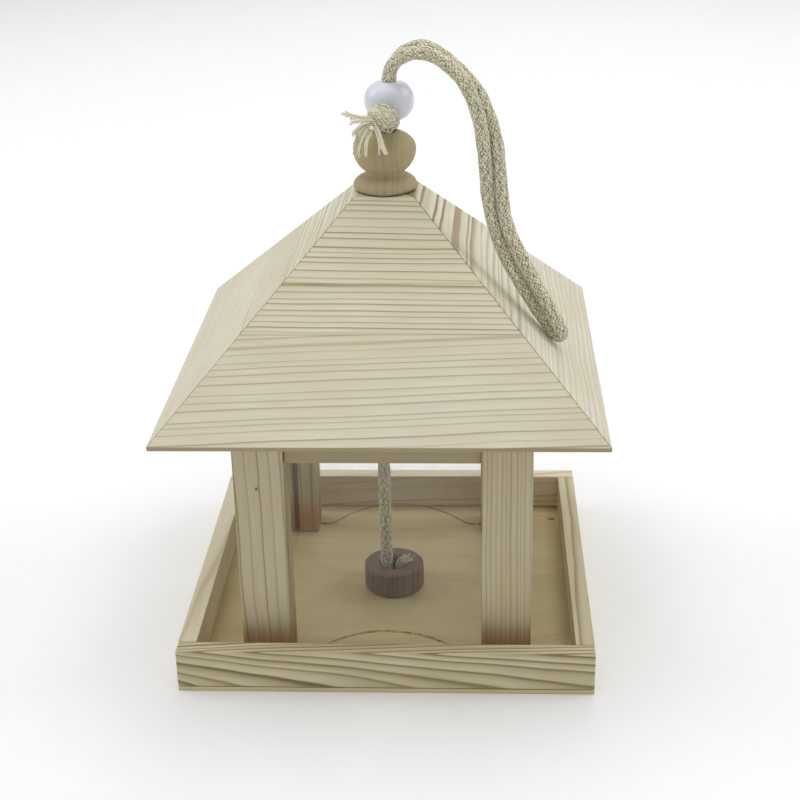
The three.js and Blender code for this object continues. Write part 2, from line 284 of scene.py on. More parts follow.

# Glue joints, painted shade on the eave's edge, mitre lines, a knot's heart and painted shade at the posts'
# feet.
SEAM_BROWN = (104, 86, 60)
EAVE_SHADE_BROWN = (158, 140, 106)
MITRE_BROWN = (92, 72, 46)
HEART_BROWN = (98, 72, 48)
FOOT_SHADE_BROWN = (174, 105, 36)


def stepped(tree, place, starts, values):
    """The first value, changing to each next one where place passes the next start."""
    total = values[0]
    for start, before, after in zip(starts, values, values[1:]):
        if after == before:
            continue
        past = tree.math("GREATER_THAN", place, start)
        total = tree.math("MULTIPLY_ADD", past, after - before, total)
    return total


def hip_gap(tree, point):
    """Distance from the roof's mitred hips, in millimetres, measured across them in plan."""
    x = tree.math("ABSOLUTE", tree.dot(point, (1, 0, 0)))
    y = tree.math("ABSOLUTE", tree.dot(point, (0, 1, 0)))
    inward = tree.math("SUBTRACT", y, ROOF_HALF_Y)
    level = tree.math("MULTIPLY_ADD", inward, SIDE_RUN / FRONT_RUN, ROOF_HALF_X)
    # The gap along x is measured across a line at 45 degrees.
    return tree.math("MULTIPLY", tree.math("ABSOLUTE", tree.math("SUBTRACT", x, level)), 0.71)


def wood(
    name,
    axes,
    tones=PINE,
    pith=(-90.0, -30.0),
    spacing=3.2,
    lean=0.0,
    sweep=(0.0, 0.0),
    strength=0.8,
    wander=1.5,
    late=(0.45, 0.84),
    evenness=0.4,
    starts=(),
    seam=0.0,
    hips=0.0,
    knot=None,
    foot_shade=0.0,
    seed=0.0,
):
    """Sawn wood: growth rings about a pith line, cut by the board's faces.

    axes are the grain, across and outward directions. pith is the pith's place across and outward,
    spacing the ring width and lean the slope of the lines on the face, all in millimetres. sweep lets
    the rings run out of the face along the board: its two terms go with the place and its square.
    pith across, spacing, lean and strength may be lists, one value for each stave, and starts are the
    edges between the staves. late is where in each year the warm band starts and where it is darkest,
    and evenness is how alike the years are. knot is (x, y, z, radius). foot_shade is painted shade that
    darkens the wood towards the tray floor, seam darkens the joints between staves, and hips the mitred
    joints of the roof, with painted shade on the eave's edge.
    """
    tree = Tree(name)
    point = tree.object_mm()
    along, across, outward = (tree.dot(point, axis) for axis in axes)
    stave_count = len(starts) + 1

    def per_stave(value):
        values = value if isinstance(value, (list, tuple)) else [value] * stave_count
        return stepped(tree, across, starts, list(values))

    # Slow waves along the board, so that no line is quite straight.
    slow = tree.combine(
        tree.math("MULTIPLY", along, 0.012),
        tree.math("MULTIPLY", across, 0.03),
        tree.math("MULTIPLY_ADD", outward, 0.03, seed),
    )
    wave = tree.noise(slow, 1.0, 2.0, 0.45, output="Color")
    wave = tree.vector("SUBTRACT", wave, (0.5, 0.5, 0.5))
    drift_a = tree.math("MULTIPLY", tree.dot(wave, (1, 0, 0)), 2 * wander)
    drift_b = tree.math("MULTIPLY", tree.dot(wave, (0, 1, 0)), 2 * wander)
    rise = tree.math("MULTIPLY", along, per_stave(lean))
    drifted = tree.math("ADD", tree.math("ADD", across, rise), drift_a)
    side = tree.math("SUBTRACT", drifted, per_stave(pith[0]))
    deep = tree.math("SUBTRACT", tree.math("ADD", outward, drift_b), pith[1])
    square = tree.math("ADD", tree.math("POWER", side, 2), tree.math("POWER", deep, 2))
    if any(sweep):
        run_out = tree.math("MULTIPLY", along, tree.math("MULTIPLY_ADD", along, sweep[1], sweep[0]))
        square = tree.math("ADD", square, run_out)
    radius = tree.math("SQRT", square)
    if knot:
        away = tree.vector("SUBTRACT", point, tuple(knot[:3]))
        stretched = tree.math("MULTIPLY", tree.dot(away, axes[0]), 0.6)
        flat = tree.combine(stretched, tree.dot(away, axes[1]), 0.0)
        reach = tree.vector("LENGTH", flat, output=1)
        near = tree.math("MULTIPLY", reach, 1 / (2.6 * knot[3]))
        pull = tree.math("POWER", math.e, tree.math("MULTIPLY", tree.math("POWER", near, 2), -1))
        radius = tree.math("MULTIPLY_ADD", pull, knot[3], radius)

    # Years differ in width and in how dark their late wood is.
    years = tree.noise(tree.combine(tree.math("MULTIPLY", radius, 0.16), seed, 0.0), 1.0, 1.0)
    count = tree.math("DIVIDE", radius, per_stave(spacing))
    count = tree.math("MULTIPLY_ADD", years, 1.7, count)
    year = tree.math("FLOOR", count)
    phase = tree.math("FRACT", count)
    tone = tree.add("ShaderNodeTexWhiteNoise", {"W": tree.math("ADD", year, seed)}, "Value",
                    noise_dimensions="1D")

    # Fibres run along the grain; the late wood breaks up into them.
    fine = tree.combine(
        tree.math("MULTIPLY", along, 0.045),
        tree.math("MULTIPLY", across, 2.3),
        tree.math("MULTIPLY_ADD", outward, 2.3, seed),
    )
    fibre = tree.noise(fine, 1.0, 4.0, 0.6)
    coarse = tree.combine(
        tree.math("MULTIPLY", along, 0.03),
        tree.math("MULTIPLY", across, 0.5),
        tree.math("MULTIPLY_ADD", outward, 0.5, seed + 7.0),
    )
    streak = tree.noise(coarse, 1.0, 2.0, 0.5)

    depth = tree.math("MULTIPLY", tree.spread(tone, 0.0, 1.0, evenness, 1.05), per_stave(strength))
    depth = tree.math("MULTIPLY", depth, tree.spread(fibre, 0.25, 0.7, 0.78, 1.12))
    start, end = late
    band_stops = [(0.0, 0.3), (0.08, 0.0), (start, 0.05), (end, 0.9), (0.94, 1.0), (1.0, 0.3)]
    line_stops = [(0.0, 0.0), (end - 0.14, 0.0), (end, 0.85), (0.93, 1.0), (0.98, 0.0), (1.0, 0.0)]
    band = tree.ramp(phase, band_stops)
    line = tree.ramp(phase, line_stops)
    band = tree.math("MULTIPLY", band, depth, clamp=True)
    line = tree.math("MULTIPLY", line, depth, clamp=True)

    early, warm, dark = tones
    colour = tree.mix(band, early, warm)
    colour = tree.mix(line, colour, dark)
    fibre_shade = tree.spread(fibre, 0.3, 0.7, 0.965, 1.03)
    shade = tree.math("MULTIPLY", fibre_shade, tree.spread(streak, 0.3, 0.7, 0.955, 1.035))
    colour = tree.mix(1.0, colour, tree.combine(shade, shade, shade), "MULTIPLY")
    cloud = tree.noise(slow, 1.7, 1.0)
    colour = tree.mix(tree.spread(cloud, 0.35, 0.7, 0.0, 0.3), colour, warm)
    if seam:
        for edge in starts:
            gap = tree.math("ABSOLUTE", tree.math("SUBTRACT", across, edge))
            joint = tree.spread(gap, 0.1, 0.45, seam, 0.0, smooth=True)
            colour = tree.mix(joint, colour, SEAM_BROWN)
    if hips:
        height = tree.dot(point, (0, 0, 1))
        # Painted shade on the eave's edge face and on the underside just behind it.
        eave_shade = tree.spread(height, EAVE_LEVEL - 0.3, EAVE_LEVEL, 0.85, 0.0)
        colour = tree.mix(eave_shade, colour, EAVE_SHADE_BROWN)
        ragged = tree.math("MULTIPLY_ADD", tree.noise(point, 0.7, 3.0), 0.5, hip_gap(tree, point))
        joint = tree.spread(ragged, 0.25, 0.5, hips, 0.0, smooth=True)
        joint = tree.math("MULTIPLY", joint, tree.spread(height, 150, 185, 0.5, 1.3))
        colour = tree.mix(joint, colour, MITRE_BROWN)
    if knot:
        size = knot[3]
        rough = tree.math("MULTIPLY", tree.noise(point, 0.8, 3.0), 0.9 * size)
        ragged = tree.math("ADD", rough, tree.math("SUBTRACT", reach, 0.45 * size))
        heart = tree.spread(ragged, 0.55 * size, 1.15 * size, 0.85, 0.0, smooth=True)
        colour = tree.mix(heart, colour, HEART_BROWN)
    if foot_shade:
        # Painted shade: the wood darkens towards the tray floor, with a streaky edge.
        shade_height = tree.math("MULTIPLY_ADD", streak, 9.0, tree.dot(point, (0, 0, 1)))
        foot_shade_mask = tree.spread(shade_height, 14.0, 33.0, foot_shade, 0.0, smooth=True)
        colour = tree.mix(foot_shade_mask, colour, FOOT_SHADE_BROWN)

    tree.links.new(colour, tree.shader.inputs["Base Color"])
    tree.links.new(tree.spread(line, 0.0, 1.0, 0.66, 0.5), tree.shader.inputs["Roughness"])
    tree.shader.inputs["Specular IOR Level"].default_value = 0.3
    relief = tree.math("MULTIPLY_ADD", line, 0.5, tree.math("MULTIPLY", fibre, 0.8))
    tree.bump(relief, 0.00012, 0.55)
    return tree.material


def finish_node(name, material, bevel):
    """Gives a carried-over CAD node its material, and eases its edges."""
    node = NODES[name]
    node.data.materials.clear()
    node.data.materials.append(material)
    weld = node.modifiers.new("weld", "WELD")
    weld.merge_threshold = 2e-6
    if bevel:
        ease = node.modifiers.new("eased_edges", "BEVEL")
        ease.width = bevel * MM
        ease.segments = 2
        ease.limit_method = "ANGLE"
        ease.angle_limit = math.radians(28)
        ease.harden_normals = False


def unit(*parts):
    """The direction with these parts, at length one."""
    return tuple(Vector(parts).normalized())


ALONG_X = ((1, 0, 0), (0, 0, 1), (0, -1, 0))
ALONG_Y = ((0, 1, 0), (0, 0, 1), (1, 0, 0))
ALONG_Z = ((0, 0, 1), (1, 0, 0), (0, -1, 0))

# Up the roof's slopes: the run of a front or back board, that of a side board, and their rise.
FRONT_RUN = 87.5
SIDE_RUN = 86.0
ROOF_RISE = 85.1
ROOF_HALF_X = 100.0
ROOF_HALF_Y = 101.5
EAVE_LEVEL = 129.3

# Where the edges between a roof board's three staves lie, up the slope from the eave.
STAVE_EDGES = (53.0, 78.0)


def roof_axes(turn_x, turn_y, run):
    """Grain, up-slope and outward directions of the roof board that faces (turn_x, turn_y)."""
    up = unit(-turn_x * run, -turn_y * run, ROOF_RISE)
    out = unit(turn_x * ROOF_RISE, turn_y * ROOF_RISE, run)
    grain = (-turn_y, turn_x, 0)
    return grain, up, out


def roof_base(turn_x, turn_y, run, half):
    """Where the eave lies on the up-slope axis."""
    up = Vector(unit(-turn_x * run, -turn_y * run, ROOF_RISE))
    return up.dot(Vector((turn_x * half, turn_y * half, EAVE_LEVEL)))


def dress_roof():
    # Each board is glued up from three staves, and a figure's lists give one value for each.
    sides = {
        "front": (0, -1, FRONT_RUN, ROOF_HALF_Y),
        "back": (0, 1, FRONT_RUN, ROOF_HALF_Y),
        "left": (-1, 0, SIDE_RUN, ROOF_HALF_X),
        "right": (1, 0, SIDE_RUN, ROOF_HALF_X),
    }
    figures = {
        "front": dict(
            pith=([-60, 10, 20], -22), spacing=[3.6, 2.7, 3.1], lean=[-0.045, 0.018, 0.03],
            strength=[0.62, 0.9, 1.0], wander=1.3, seam=0.35, seed=1.3,
        ),
        "back": dict(
            pith=([150, -10, 30], -20), spacing=[3.4, 3.0, 2.8], lean=[0.02, -0.02, 0.03],
            strength=[0.8, 0.65, 0.8], wander=2.0, seam=0.3, seed=5.1,
        ),
        "left": dict(
            pith=([-40, 0, 190], -26), spacing=[2.3, 1.9, 3.4], lean=[0.01, -0.01, 0.03],
            strength=[0.5, 0.9, 0.8], wander=1.0, seam=0.2, tones=COOL_PINE, seed=9.2,
        ),
        "right": dict(
            pith=([-50, 0, 20], -16), spacing=[3.0, 3.6, 6.4], lean=[0.01, 0.02, 0.02],
            strength=[0.25, 0.45, 1.1], wander=3.4, late=(0.3, 0.66), evenness=0.75, seam=0.25,
            tones=COOL_PINE, seed=13.7,
        ),
    }
    for side, (turn_x, turn_y, run, half) in sides.items():
        axes = roof_axes(turn_x, turn_y, run)
        base = roof_base(turn_x, turn_y, run, half)
        figure = figures[side]
        across, deep = figure.pop("pith")
        # The board's outer face on the outward axis, from which the pith's depth is measured.
        face = Vector(axes[2]).dot(Vector((turn_x * half, turn_y * half, EAVE_LEVEL)))
        place = ([base + value for value in across], face + deep)
        starts = tuple(base + edge for edge in STAVE_EDGES)
        material = wood(f"pine_roof_{side}", axes, pith=place, starts=starts, hips=0.5, **figure)
        finish_node(f"roof_panel_{side}", material, bevel=0.4)


def dress_tray():
    """Edge rails, and the plywood floor with its small dark knot at the back right."""
    rails = {
        "front": dict(axes=ALONG_X, tones=RAIL_PINE, pith=(-7, 57), spacing=2.2, sweep=(4.6, -0.0082),
                      wander=1.4, strength=1.0, late=(0.25, 0.8), evenness=0.55, seed=2.0),
        # The back and left rails take the lighter pine: painted light.
        "back": dict(axes=ALONG_X, tones=LIT_RAIL_PINE, pith=(-60, -60), spacing=5.5, lean=-0.05, wander=3.0,
                     strength=0.4, seed=4.4),
        "left": dict(axes=ALONG_Y, tones=LIT_RAIL_PINE, pith=(-50, -70), spacing=3.4, lean=0.03, wander=2.0,
                     strength=0.6, seed=6.1),
        "right": dict(axes=ALONG_Y, tones=RAIL_PINE, pith=(50, 110), spacing=2.6, lean=-0.01, wander=1.2,
                      strength=0.5, seed=7.7),
    }
    for side, figure in rails.items():
        finish_node(f"tray_rail_{side}", wood(f"pine_rail_{side}", **figure), bevel=0.5)
    level = ((1, 0, 0), (0, 1, 0), (0, 0, 1))
    floor = wood("plywood_floor", level, tones=PLYWOOD, pith=(-20, -70), spacing=11, lean=0.02, wander=12,
                 strength=0.2, knot=(84.5, 72, 2, 1.4), seed=3.0)
    finish_node("tray_floor", floor, bevel=0.15)


def dress_posts():
    """Corner posts, with painted shade at their feet, and the rails between their tops."""
    posts = {
        "front_left": dict(pith=(-110, 60), spacing=5.2, lean=0.02, wander=2.0, strength=0.85,
                           late=(0.66, 0.9), knot=(-57.5, -75.5, 96, 0.6), seed=8.0),
        "front_right": dict(pith=(10, 55), spacing=2.1, wander=0.9, strength=0.65, evenness=0.35, seed=11.0),
        "back_left": dict(pith=(-120, 30), spacing=3.4, lean=0.01, wander=1.4, strength=0.7, seed=12.0),
        "back_right": dict(pith=(0, 50), spacing=4.2, lean=-0.01, wander=1.8, strength=0.7, seed=15.0),
    }
    for corner, figure in posts.items():
        material = wood(f"pine_post_{corner}", ALONG_Z, tones=POST_PINE, foot_shade=0.65, **figure)
        finish_node(f"post_{corner}", material, bevel=0.45)
    rails = {
        "front": (ALONG_X, 0.01, 16.0),
        "back": (ALONG_X, -0.02, 17.0),
        "left": (ALONG_Y, 0.02, 18.0),
        "right": (ALONG_Y, -0.01, 19.0),
    }
    for side, (axes, lean, seed) in rails.items():
        # The top rails take the darker pine: painted shade under the roof.
        material = wood(f"pine_top_rail_{side}", axes, tones=ROOF_SHADE_PINE, pith=(70, -80), spacing=3.8,
                        lean=lean, wander=2.2, strength=0.75, seed=seed)
        finish_node(f"top_rail_{side}", material, bevel=0.4)


# Curves and tubes.


def catmull(four, knots, t):
    """The point at t on the Catmull-Rom segment between the middle two of four points."""

    def between(a, b, start, end):
        return (end - t) / (end - start) * a + (t - start) / (end - start) * b

    a = [between(four[i], four[i + 1], knots[i], knots[i + 1]) for i in range(3)]
    b = [between(a[i], a[i + 1], knots[i], knots[i + 2]) for i in range(2)]
    return between(b[0], b[1], knots[1], knots[2])


def smooth_route(points, step):
    """Points a fixed step apart on a centripetal Catmull-Rom curve through the given points."""
    points = [np.array(point, float) for point in points]
    ends = [2 * points[0] - points[1], *points, 2 * points[-1] - points[-2]]
    fine = []
    for index in range(1, len(ends) - 2):
        four = ends[index - 1:index + 3]
        knots = [0.0]
        for first, second in zip(four, four[1:]):
            knots.append(knots[-1] + max(np.linalg.norm(second - first) ** 0.5, 1e-9))
        pieces = max(6, int(np.linalg.norm(four[2] - four[1]) / step))
        for t in np.linspace(knots[1], knots[2], pieces, endpoint=False):
            fine.append(catmull(four, knots, t))
    fine.append(points[-1])
    fine = np.array(fine)
    run = np.concatenate([[0.0], np.cumsum(np.linalg.norm(np.diff(fine, axis=0), axis=1))])
    stations = np.linspace(0, run[-1], max(2, round(run[-1] / step)) + 1)
    return np.array([np.interp(stations, run, fine[:, axis]) for axis in range(3)]).T


def carried_frames(path):
    """Two directions across the path at each point, carried along it without twist."""
    ahead = np.gradient(path, axis=0)
    ahead /= np.linalg.norm(ahead, axis=1)[:, None]
    side = np.cross(ahead[0], (0.0, 1.0, 0.2))
    side /= np.linalg.norm(side)
    sides = []
    for direction in ahead:
        side = side - direction * (side @ direction)
        side /= np.linalg.norm(side)
        sides.append(side)
    sides = np.array(sides)
    return sides, np.cross(ahead, sides)


def mesh_piece(name, points, faces, material):
    """A smooth-shaded mesh object from points in millimetres."""
    mesh = bpy.data.meshes.new(name)
    mesh.from_pydata((np.asarray(points) * MM).tolist(), [], faces)
    mesh.validate()
    mesh.update()
    mesh.polygons.foreach_set("use_smooth", [True] * len(mesh.polygons))
    mesh.materials.append(material)
    piece = bpy.data.objects.new(name, mesh)
    bpy.context.scene.collection.objects.link(piece)
    return piece


def tube_faces(rings, sides, first=0):
    """Quads round a tube, and one polygon as the cap at each end."""
    faces = []
    for ring in range(rings - 1):
        for k in range(sides):
            a = first + ring * sides + k
            b = first + ring * sides + (k + 1) % sides
            faces.append((a, b, b + sides, a + sides))
    faces.append(tuple(first + k for k in reversed(range(sides))))
    faces.append(tuple(first + (rings - 1) * sides + k for k in range(sides)))
    return faces


def braid(a, b):
    """Height, groove depth and shade of a plain braid whose strands are two yarns side by side.

    a and b count strands across the two families that cross. The groove is 0 between yarns and 1 on
    their crowns; the shade differs at random from one stitch to the next.
    """
    cell_a, cell_b = np.floor(a), np.floor(b)
    over = np.where((cell_a + cell_b) % 2 < 0.5, 1.0, -1.0)
    hump_a = np.sin(np.pi * (a - cell_a))
    hump_b = np.sin(np.pi * (b - cell_b))
    rise_a = RELIEF * hump_a ** 0.7 + WEAVE * over * hump_b
    rise_b = RELIEF * hump_b ** 0.7 - WEAVE * over * hump_a
    on_top = rise_a >= rise_b
    edge = np.where(on_top, hump_a, hump_b)
    dive = np.where(on_top, hump_b, hump_a)
    yarn = np.abs(np.sin(2 * np.pi * np.where(on_top, a, b)))
    groove = (0.3 + 0.7 * yarn ** 0.7) * np.clip(edge, 0, 1) ** 0.35 * np.clip(dive, 0, 1) ** 0.6
    half = np.floor(2 * np.where(on_top, a, b))
    # The usual sine hash: the same stitch always draws the same shade.
    shade = np.sin(half * 12.9898 + np.where(on_top, cell_b, cell_a) * 78.233) * 43758.5453
    shade -= np.floor(shade)
    return np.maximum(rise_a, rise_b) + 0.06 * yarn, groove, shade


def add_values(piece, **layers):
    """Puts one number per point on a mesh for each named layer."""
    for name, values in layers.items():
        layer = piece.data.attributes.new(name, "FLOAT", "POINT")
        layer.data.foreach_set("value", np.asarray(values, np.float32).ravel())


def braided(
    name,
    route,
    radius=ROPE_RADIUS,
    swell=None,
    flat=1.0,
    strands=BRAID_STRANDS,
    pitch=BRAID_PITCH,
    gap_shade_fade=0.0,
):
    """A braided cotton rope along a route.

    swell gives the radius at each share of the way along it, in place of one radius. flat squeezes the
    section. gap_shade_fade lightens the painted shade in the gaps between the stitches, from 0 to 1.
    """
    path = smooth_route(route, BRAID_STEP)
    side, other = carried_frames(path)
    rings = len(path)
    along = np.arange(rings) * BRAID_STEP
    share = np.linspace(0, 1, rings)
    radii = np.full(rings, float(radius)) if swell is None else np.array([swell(s) for s in share])
    turn = 2 * np.pi * np.arange(BRAID_SIDES) / BRAID_SIDES
    run = along[:, None]
    about = turn[None, :]
    u = run / pitch
    v = strands * about / (2 * np.pi)
    # Soft rope is uneven: the stitches wander, and differ in size.
    sway = 0.3 * np.sin(0.23 * run) + 0.14 * np.sin(0.71 * run + about)
    stray_a = 0.16 * np.sin(1.9 * run + 3 * about) + 0.11 * np.sin(2.9 * run - 7 * about)
    stray_b = 0.16 * np.sin(2.3 * run - 4 * about + 1) + 0.11 * np.sin(3.3 * run + 6 * about)
    height, groove, shade = braid(u + v + sway + stray_a, u - v + sway + stray_b)
    lump = 0.09 * np.sin(run * 0.53 + 2 * about)
    # Where the rope runs out to a point, its stitches get shallow as well.
    wide = radii[:, None]
    reach = wide - 0.55 * (RELIEF + WEAVE) + height * np.minimum(1.0, wide / 1.5) + lump
    reach = np.maximum(reach, 0.02)
    points = (
        path[:, None, :]
        + reach[:, :, None] * np.cos(turn)[None, :, None] * side[:, None, :]
        + flat * reach[:, :, None] * np.sin(turn)[None, :, None] * other[:, None, :]
    )
    piece = mesh_piece(name, points.reshape(-1, 3), tube_faces(rings, BRAID_SIDES), COTTON)
    add_values(piece, groove=gap_shade_fade + (1 - gap_shade_fade) * groove, shade=shade)
    return piece


def torus_faces(segments, rows):
    """Quads of a closed ring of closed outlines."""
    faces = []
    for k in range(segments):
        beside = (k + 1) % segments
        for row in range(rows):
            after = (row + 1) % rows
            faces.append((k * rows + row, beside * rows + row, beside * rows + after, k * rows + after))
    return faces


def turned_piece(name, profile, material):
    """A lathe piece from a closed profile of (radius, height) points."""
    points = []
    for k in range(LATHE_SEGMENTS):
        angle = 2 * math.pi * k / LATHE_SEGMENTS
        for radius, height in profile:
            points.append((radius * math.cos(angle), radius * math.sin(angle), height))
    return mesh_piece(name, points, torus_faces(LATHE_SEGMENTS, len(profile)), material)


# Rope, yarn and glaze materials.


def cotton(name, light, dark, tint):
    """Undyed cotton: pale yarns, no two stitches quite alike, and painted shade in the gaps between them."""
    tree = Tree(name)
    point = tree.object_mm()
    groove = tree.add("ShaderNodeAttribute", output="Fac", attribute_name="groove")
    shade = tree.add("ShaderNodeAttribute", output="Fac", attribute_name="shade")
    colour = tree.mix(tree.spread(shade, 0.15, 1.0, 0.0, 0.75), light, tint)
    fleck = tree.noise(point, 0.8, 4.0, 0.65)
    # Painted shade: the colour goes dark in the grooves between yarns and stitches.
    ragged = tree.math("MULTIPLY_ADD", fleck, 0.5, tree.math("SUBTRACT", groove, 0.25))
    crown = tree.spread(ragged, 0.1, 0.62, 0.0, 1.0, smooth=True)
    colour = tree.mix(crown, dark, colour)
    tree.links.new(colour, tree.shader.inputs["Base Color"])
    tree.shader.inputs["Roughness"].default_value = 0.95
    tree.shader.inputs["Specular IOR Level"].default_value = 0.1
    tree.shader.inputs["Sheen Weight"].default_value = 0.2
    tree.shader.inputs["Sheen Roughness"].default_value = 0.5
    hair = tree.noise(point, 3.2, 4.0, 0.7)
    tree.bump(hair, 0.00016, 0.9)
    return tree.material


def glazed():
    """A fired glaze: smooth, faintly uneven, slightly lavender."""
    tree = Tree("white_glaze")
    point = tree.object_mm()
    cloud = tree.noise(point, 0.16, 3.0)
    colour = tree.mix(tree.spread(cloud, 0.35, 0.65, 0.0, 1.0), (213, 216, 226), (223, 226, 233))
    tree.links.new(colour, tree.shader.inputs["Base Color"])
    tree.shader.inputs["Roughness"].default_value = 0.34
    tree.shader.inputs["Coat Weight"].default_value = 0.35
    tree.shader.inputs["Coat Roughness"].default_value = 0.18
    tree.bump(tree.noise(point, 0.35, 2.0), 0.0002, 0.25)
    return tree.material


def clear_sheet():
    """Clear plastic, slightly hazy with fine rubs, with a rough brown line along its cut lower edge."""
    tree = Tree("clear_sheet")
    point = tree.object_mm()
    rubs = tree.noise(point, 0.12, 4.0, 0.6)
    normal = tree.add("ShaderNodeTexCoord", output="Normal")
    flat = tree.vector("ABSOLUTE", normal)
    facing = tree.math("MAXIMUM", tree.dot(flat, (1, 0, 0)), tree.dot(flat, (0, 1, 0)))
    face = tree.spread(facing, 0.6, 0.9, 0.0, 1.0)
    edge = tree.math("SUBTRACT", 1.0, face)
    # The cut edges of the front and back sheets are drawn dark and nearly opaque, in broken patches; those
    # of the side sheets, much fainter.
    middle = tree.math("ABSOLUTE", tree.dot(point, (1, 0, 0)))
    edge_patches = tree.spread(tree.noise(point, 0.55, 3.0, 0.7), 0.42, 0.6, 0.25, 0.85)
    edge_dark = tree.math("MULTIPLY", tree.spread(middle, 50, 53, 1.0, 0.12), edge_patches)
    haze = tree.spread(rubs, 0.3, 0.7, 0.035, 0.07)
    alpha = tree.math("MULTIPLY_ADD", edge, edge_dark, tree.math("MULTIPLY", haze, face))
    tree.links.new(alpha, tree.shader.inputs["Alpha"])
    tree.links.new(tree.mix(edge, (214, 208, 200), (116, 94, 62)), tree.shader.inputs["Base Color"])
    tree.shader.inputs["Specular IOR Level"].default_value = 0.2
    polish = tree.spread(rubs, 0.3, 0.7, 0.07, 0.2)
    tree.links.new(tree.math("MULTIPLY_ADD", edge, 0.7, polish), tree.shader.inputs["Roughness"])
    return tree.material


def steel_screws():
    """Zinc-plated steel with slightly uneven plating."""
    tree = Tree("zinc_screw")
    point = tree.object_mm()
    spots = tree.noise(point, 1.3, 3.0)
    tree.shader.inputs["Metallic"].default_value = 1.0
    colour = tree.mix(tree.spread(spots, 0.35, 0.65, 0, 1), (176, 176, 172), (200, 199, 192))
    tree.links.new(colour, tree.shader.inputs["Base Color"])
    tree.links.new(tree.spread(spots, 0.35, 0.65, 0.25, 0.45), tree.shader.inputs["Roughness"])
    return tree.material


# dark is the colour of the painted shade in the gaps.
COTTON = cotton("cotton_rope", light=(240, 234, 210), dark=(110, 99, 68), tint=(180, 177, 144))
YARN = cotton("cotton_yarn", light=(252, 247, 224), dark=(104, 90, 54), tint=(196, 186, 144))


# Finial, bead and anchor disc.


def smooth_profile(points):
    """A profile through the points, fine enough to look turned."""
    flat = [(x, 0.0, z) for x, z in points]
    length = sum(math.dist(a, b) for a, b in zip(points, points[1:]))
    return [(x, z) for x, _, z in smooth_route(flat, length / 90)]


def make_finial():
    """A rounded foot, a narrow neck and a ball, with a flared bore for the rope."""
    outer = [
        (13.2, FINIAL_BOTTOM),
        (14.5, FINIAL_BOTTOM + 0.9),
        (14.8, FINIAL_BOTTOM + 2.1),
        (14.3, FINIAL_BOTTOM + 3.9),
        (12.7, FINIAL_BOTTOM + 5.5),
        (10.6, FINIAL_BOTTOM + 6.5),
        (9.3, FINIAL_BOTTOM + 7.2),
        (9.1, FINIAL_BOTTOM + 8.1),
    ]
    for angle in range(-50, 61, 10):
        turn = math.radians(angle)
        half_height = BALL_LOWER if angle < 0 else BALL_UPPER
        outer.append((BALL_RADIUS * math.cos(turn), BALL_HEIGHT + half_height * math.sin(turn)))
    top = BALL_HEIGHT + BALL_UPPER * 0.94
    outer += [(6.3, top - 0.2), (5.4, top - 0.9), (FINIAL_BORE, top - 3.4)]
    profile = smooth_profile(outer) + [(FINIAL_BORE, FINIAL_BOTTOM)]
    material = wood("beech_finial", ALONG_Z, tones=BEECH, pith=(400, 30), spacing=3.0, lean=0.03, wander=1.4,
                    strength=0.28, evenness=0.1, seed=21.0)
    piece = turned_piece("finial_turned", profile, material)
    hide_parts("finial")
    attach(piece, "roof")


def make_bead():
    """A glazed, slightly flattened ball. Its bore is drawn oval, as wide as two strands side by side."""
    centre = Vector(BEAD_CENTRE)
    tilt = Matrix.Rotation(-math.radians(BEAD_LEAN), 3, "X")
    power = 2 / BEAD_FULLNESS
    points = []
    for k in range(LATHE_SEGMENTS):
        angle = 2 * math.pi * k / LATHE_SEGMENTS
        bore = 1 / math.hypot(math.cos(angle) / BEAD_BORE_X, math.sin(angle) / BEAD_BORE_Y)
        edge = math.acos(((bore + 0.55) / BEAD_RADIUS) ** (BEAD_FULLNESS / 2))
        upper = []
        for turn in np.linspace(0, edge, BEAD_ROWS):
            out = BEAD_RADIUS * math.cos(turn) ** power
            upper.append((out, BEAD_HALF_HEIGHT * math.sin(turn) ** power))
        # A small round rim leads into the bore.
        rim = upper[-1][1]
        upper += [(bore + 0.28, rim - 0.1), (bore + 0.08, rim - 0.5), (bore, rim - 1.2)]
        outline = upper + [(out, -level) for out, level in reversed(upper[1:])]
        for out, level in outline:
            points.append(tilt @ Vector((out * math.cos(angle), out * math.sin(angle), level)) + centre)
    faces = torus_faces(LATHE_SEGMENTS, len(points) // LATHE_SEGMENTS)
    piece = mesh_piece("bead_glazed", [tuple(point) for point in points], faces, glazed())
    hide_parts("bead")
    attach(piece, "bead")
    return piece


def dress_disc():
    """The dark disc that holds the rope's lower end."""
    material = wood("dark_disc", ALONG_Z, tones=DARK_WOOD, pith=(200, 9), spacing=2.6, wander=1.6,
                    strength=0.6, seed=23.0)
    finish_node("rope_anchor_disc", material, bevel=0)
    smooth_by_angle(NODES["rope_anchor_disc"])


def smooth_by_angle(node):
    """Round sides shade smoothly while the rims stay crisp."""
    split = node.modifiers.new("crisp_rims", "EDGE_SPLIT")
    split.split_angle = math.radians(30)


# Yarns, knot and rope.


